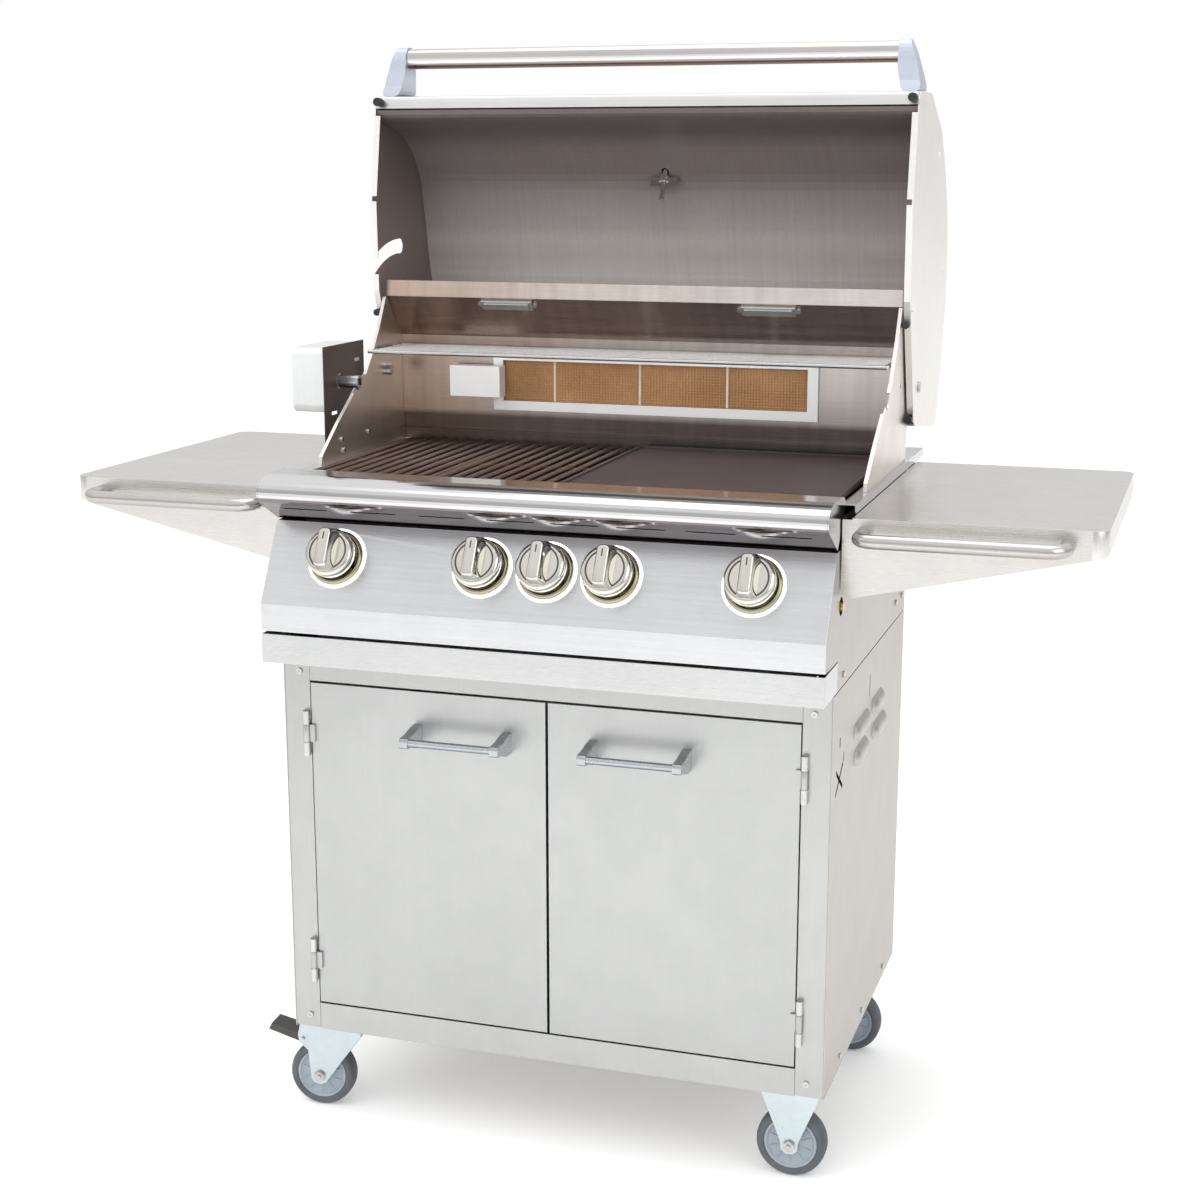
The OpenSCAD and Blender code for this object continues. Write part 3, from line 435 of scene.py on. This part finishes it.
# ---------------------------------------------------------------- knobs
KNOB = [(0, 35), (20, 35), (29.8, 34.7), (31.2, 34.2), (33.6, 32.6), (34.6, 31.4), (34.9, 30), (34.9, 27.4),
        (34.4, 26.9), (33.2, 26.7), (33.2, 23.4), (34.4, 23.2), (34.9, 22.7), (34.9, 17.4), (34.4, 15.6),
        (33, 14), (27, 12.8), (4.1, 12.8), (4.1, 33), (0, 33)]
for i in range(1, 6):
    j = JOINTS["knob_%d_turn" % i]
    at = place(j["pos_m"], j["axis"])
    bm = bmesh.new()
    lathe(bm, KNOB, at, 96, 0, closed=False)
    # painted shade: a dark ring fills the drum's groove where shade falls, and a thin raised line on the drum's face
    # uses the same dark material
    lathe(bm, [(33.3, 23.6), (33.7, 23.6), (33.7, 26.5), (33.3, 26.5)], at, 96, 1)
    lathe(bm, [(25.6, 35.02), (26.2, 35.35), (27.4, 35.35), (28.0, 35.02)], at, 96, 1)
    # raised grip, tapered and crowned
    rings = []
    for h, hx, hy, r in ((35.0, 13.6, 29.6, 6), (38, 12.9, 29.5, 6), (44, 11.6, 29.0, 6), (50, 10.2, 28.4, 6),
                         (54, 9.0, 27.8, 6), (55.8, 8.0, 26.9, 5.5), (56.8, 6.4, 25.2, 4.5)):
        rings.append([at @ Vector((x * MM, y * MM, h * MM)) for x, y in rounded(hx, hy, r)])
    loft(bm, rings, 0)
    # pointer line in the grip's upper end
    ring2 = []
    for h, hx, hy in ((56.7, 1.1, 5.5), (56.95, 0.9, 5.3)):
        ring2.append([at @ Vector((x * MM, (y + 16) * MM, h * MM)) for x, y in rounded(hx, hy, 0.7, 2)])
    loft(bm, ring2, 1)
    finish_mesh("knob_body_%d" % i, bm, [M["knob"], M["groove"]], "dial_%d" % i, ("knob_%d" % i,))

bm = bmesh.new()
bg = bmesh.new()
for i in range(1, 6):
    j = JOINTS["knob_%d_turn" % i]
    at = place(j["pos_m"], j["axis"])
    lathe(bm, [(9.2, 0.2), (40.4, 0.2), (40.5, 1.5), (40.4, 3.2), (39.9, 5.0), (39.0, 6.6), (37.6, 7.8), (36, 8.35),
               (34.6, 8.2), (33.2, 7.4), (31.8, 6.0), (30.6, 5.6), (24, 5.5), (22.5, 6.1), (21, 6.1), (19.5, 5.5),
               (9.2, 5.5)], at, 96, 0)
    lathe(bg, [(40.9, 0.15), (43.4, 0.15), (43.5, 0.9), (43.1, 1.8), (42.3, 2.25), (41.3, 2.25), (40.9, 1.8)], at, 96, 0)
finish_mesh("bezel_rings", bm, [M["bezel"]], "cart", ("knob_bezels",))
finish_mesh("glow_rings", bg, [M["glow"]], "cart", ("light_rings",))

# ---------------------------------------------------------------- wheels
TYRE = [(38.7, -13.6), (40.2, -14.9), (43.5, -15.7), (46.2, -15.4), (48.3, -13.9), (49.8, -11.4), (50.7, -8.0),
        (51.0, -4.6), (51.0, 4.6), (50.7, 8.0), (49.8, 11.4), (48.3, 13.9), (46.2, 15.4), (43.5, 15.7),
        (40.2, 14.9), (38.7, 13.6)]
HUB = [(6.2, -16.9), (12, -16.9), (13.6, -16.2), (14.4, -13), (17, -10.6), (24, -9.4), (31, -9.8), (33.4, -10.8),
       (35, -12.8), (37, -13.3), (38.5, -13.1), (38.5, 13.1), (37, 13.3), (35, 12.8), (33.4, 10.8), (31, 9.8),
       (24, 9.4), (17, 10.6), (14.4, 13), (13.6, 16.2), (12, 16.9), (6.2, 16.9)]
for tag in ("front_left", "rear_left", "front_right", "rear_right"):
    j = JOINTS[tag + "_wheel_spin"]
    at = place(j["pos_m"], j["axis"], (0, 0, 1))
    bm = bmesh.new()
    lathe(bm, TYRE, at, 96, 0)
    lathe(bm, HUB, at, 96, 1)
    for side in (-1, 1):
        # ribs on the hub's web
        for k in range(10):
            a = 2 * math.pi * k / 10
            c, s = math.cos(a), math.sin(a)
            rings = []
            for h, w in ((9.0, 1.3), (10.6, 1.1), (11.0, 0.7)):
                rings.append([at @ Vector(((r * c - t * s) * MM, (r * s + t * c) * MM, side * h * MM))
                              for r, t in ((16, -w), (33, -w), (33, w), (16, w))])
            loft(bm, rings, 1, smooth=False)
    finish_mesh(tag + "_tyre_and_hub", bm, [M["tyre"], M["hub"]], tag + "_roller", (tag + "_wheel",))
    bn = bmesh.new()
    for side in (-1, 1):
        nut = place(j["pos_m"], Vector(j["axis"]) * side, (0, 0, 1))
        hexagon(bn, nut, 9.0, 22.0, 27.0)
        lathe(bn, [(0, 30), (3, 30), (4, 29.2), (4, 26.5), (0, 26.5)], nut, 32, 0, closed=False)
    body = "cart" if "right" in tag else tag + "_swivel"
    finish_mesh(tag + "_axle_nuts", bn, [M["screw"]], body)

# ---------------------------------------------------------------- rear burner tiles
lo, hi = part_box("rear_burner_tiles")
bm = bmesh.new()
for x0, x1 in ((-0.2357, -0.1523), (-0.1482, -0.0103), (-0.0062, 0.1317), (0.1358, 0.2597)):
    nx, nz = max(4, round((x1 - x0) / 0.0047)), round((hi.z - lo.z) / 0.0047)
    yf, yb = lo.y, hi.y
    dx, dz = (x1 - x0) / nx, (hi.z - lo.z) / nz
    g = [[bm.verts.new((x0 + a * dx, yf, lo.z + b * dz)) for b in range(nz + 1)] for a in range(nx + 1)]
    for a in range(nx):
        for b in range(nz):
            o4 = [g[a][b], g[a + 1][b], g[a + 1][b + 1], g[a][b + 1]]
            c = Vector((x0 + (a + 0.5) * dx, yf, lo.z + (b + 0.5) * dz))
            inner, deep = [], []
            for k, (sx, sz) in enumerate(((-1, -1), (1, -1), (1, 1), (-1, 1))):
                inner.append(bm.verts.new(c + Vector((sx * dx * 0.27, 0, sz * dz * 0.27))))
                deep.append(bm.verts.new(c + Vector((sx * dx * 0.22, 0.0022, sz * dz * 0.22))))
            for k in range(4):
                bm.faces.new((o4[k], o4[(k + 1) % 4], inner[(k + 1) % 4], inner[k]))
                bm.faces.new((inner[k], inner[(k + 1) % 4], deep[(k + 1) % 4], deep[k]))
            bm.faces.new(deep)
    # sides and back
    rim = [g[a][0] for a in range(nx + 1)] + [g[nx][b] for b in range(1, nz + 1)] + \
          [g[a][nz] for a in range(nx - 1, -1, -1)] + [g[0][b] for b in range(nz - 1, 0, -1)]
    back = [bm.verts.new((v.co.x, yb, v.co.z)) for v in rim]
    n = len(rim)
    for k in range(n):
        bm.faces.new((rim[k], rim[(k + 1) % n], back[(k + 1) % n], back[k]))
    bm.faces.new(back[::-1])
for xj in (-0.15025, -0.00825, 0.13375):
    rings = [[Vector((xj + sx * w, y, z)) for sx, z in ((-1, lo.z), (1, lo.z), (1, hi.z), (-1, hi.z))]
             for w, y in ((0.0019, hi.y), (0.0019, lo.y + 0.0004), (0.0014, lo.y - 0.0002))]
    loft(bm, rings, 1, smooth=False)
finish_mesh("ceramic_tiles", bm, [M["tile"], M["joint"]], "cart", ("rear_burner_tiles",), sharp=20)

# ---------------------------------------------------------------- thermometer face
j = JOINTS["needle_turn"]
at = place(j["pos_m"], j["axis"])
bm = bmesh.new()
lathe(bm, [(3.2, 11.25), (31.2, 11.25), (31.2, 11.6), (3.2, 11.6)], at, 96, 0)
for k in range(31):
    a = math.radians(-45 + 9 * k)
    c, s = math.cos(a), math.sin(a)
    r0, w = (24.5, 0.5) if k % 5 == 0 else (27.2, 0.28)
    rings = [[at @ Vector(((r * c - t * s) * MM, (r * s + t * c) * MM, h * MM))
              for r, t in ((r0, -w), (29.8, -w), (29.8, w), (r0, w))] for h in (11.55, 11.75)]
    loft(bm, rings, 1, smooth=False)
finish_mesh("dial_plate", bm, [M["dial"], M["ink"]], "hood")

# ---------------------------------------------------------------- stage, light, camera
bpy.ops.mesh.primitive_plane_add(size=60, location=(0, 0, 0))
floor = bpy.context.object
floor.name = "studio_floor"
fm, nt, b = new_material("studio_floor")
tc = nt.nodes.new("ShaderNodeTexCoord")
fcol = ramp(nt, noise(nt, tc.outputs["Object"], 0.7, 2.0), [(0.3, grey(0.955)), (0.7, grey(0.97))])
nt.links.new(fcol, b.inputs["Base Color"])
b.inputs["Roughness"].default_value = 0.9
b.inputs["Specular IOR Level"].default_value = 0.1
b.inputs["Emission Color"].default_value = (1, 1, 1, 1)
b.inputs["Emission Strength"].default_value = 0.14
floor.data.materials.append(fm)

world = bpy.data.worlds.new("studio")
bpy.context.scene.world = world
world.use_nodes = True
wn = world.node_tree
wn.nodes.clear()
wout = wn.nodes.new("ShaderNodeOutputWorld")
bg1 = wn.nodes.new("ShaderNodeBackground")
bg2 = wn.nodes.new("ShaderNodeBackground")
mixw = wn.nodes.new("ShaderNodeMixShader")
lp = wn.nodes.new("ShaderNodeLightPath")
wt = wn.nodes.new("ShaderNodeTexCoord")
sep = wn.nodes.new("ShaderNodeSeparateXYZ")
wn.links.new(wt.outputs["Generated"], sep.inputs[0])
up = remap(wn, sep.outputs["Z"], -1.0, 1.0, 0.0, 1.0)
sky = ramp(wn, up, [(0.0, grey(0.8)), (0.49, grey(0.72)), (0.53, (0.60, 0.59, 0.58)), (0.64, (0.86, 0.86, 0.88)),
                    (0.82, (1.0, 1.0, 1.0)), (1.0, (1.0, 1.0, 1.0))])
sidew = ramp(wn, remap(wn, sep.outputs["X"], -1.0, 1.0, 0.0, 1.0),
             [(0.0, grey(0.92)), (0.3, grey(1.0)), (0.62, grey(0.95)), (1.0, grey(0.80))])
wn.links.new(mult(wn, sky, sidew), bg1.inputs["Color"])
bg1.inputs["Strength"].default_value = 1.05
bg2.inputs["Color"].default_value = (1, 1, 1, 1)
bg2.inputs["Strength"].default_value = 1.0
wn.links.new(lp.outputs["Is Camera Ray"], mixw.inputs[0])
wn.links.new(bg1.outputs[0], mixw.inputs[1])
wn.links.new(bg2.outputs[0], mixw.inputs[2])
wn.links.new(mixw.outputs[0], wout.inputs[0])


def area(name, pos, target, size, power, color=(1, 1, 1), glossy=True):
    d = bpy.data.lights.new(name, "AREA")
    d.shape = "RECTANGLE"
    d.size, d.size_y = size
    d.energy = power
    d.color = color
    o = bpy.data.objects.new(name, d)
    o.location = pos
    o.visible_glossy = glossy
    o.rotation_euler = (Vector(target) - Vector(pos)).to_track_quat("-Z", "Y").to_euler()
    bpy.context.scene.collection.objects.link(o)


area("key", (-2.2, -2.8, 3.4), (0, 0, 0.9), (4.6, 3.4), 72, glossy=False)
area("fill", (3.2, -1.8, 2.4), (0, 0, 0.8), (2.8, 2.6), 26)
area("top", (0.2, 0.4, 4.4), (0, 0, 0.8), (4.0, 3.4), 44)
area("low_front", (0.1, -2.5, 0.75), (0, 0.15, 1.30), (1.8, 0.7), 20, glossy=False)

cam = bpy.data.cameras.new("camera")
cam.lens = 59.9
cam.sensor_width = 36
cam_o = bpy.data.objects.new("camera", cam)
cam_o.location = (0.90117, -2.87249, 1.43272)
cam_o.rotation_euler = (math.radians(90 - 12.45), 0, math.radians(17.93))
bpy.context.scene.collection.objects.link(cam_o)
bpy.context.scene.camera = cam_o
bpy.context.scene.view_settings.view_transform = "Standard"
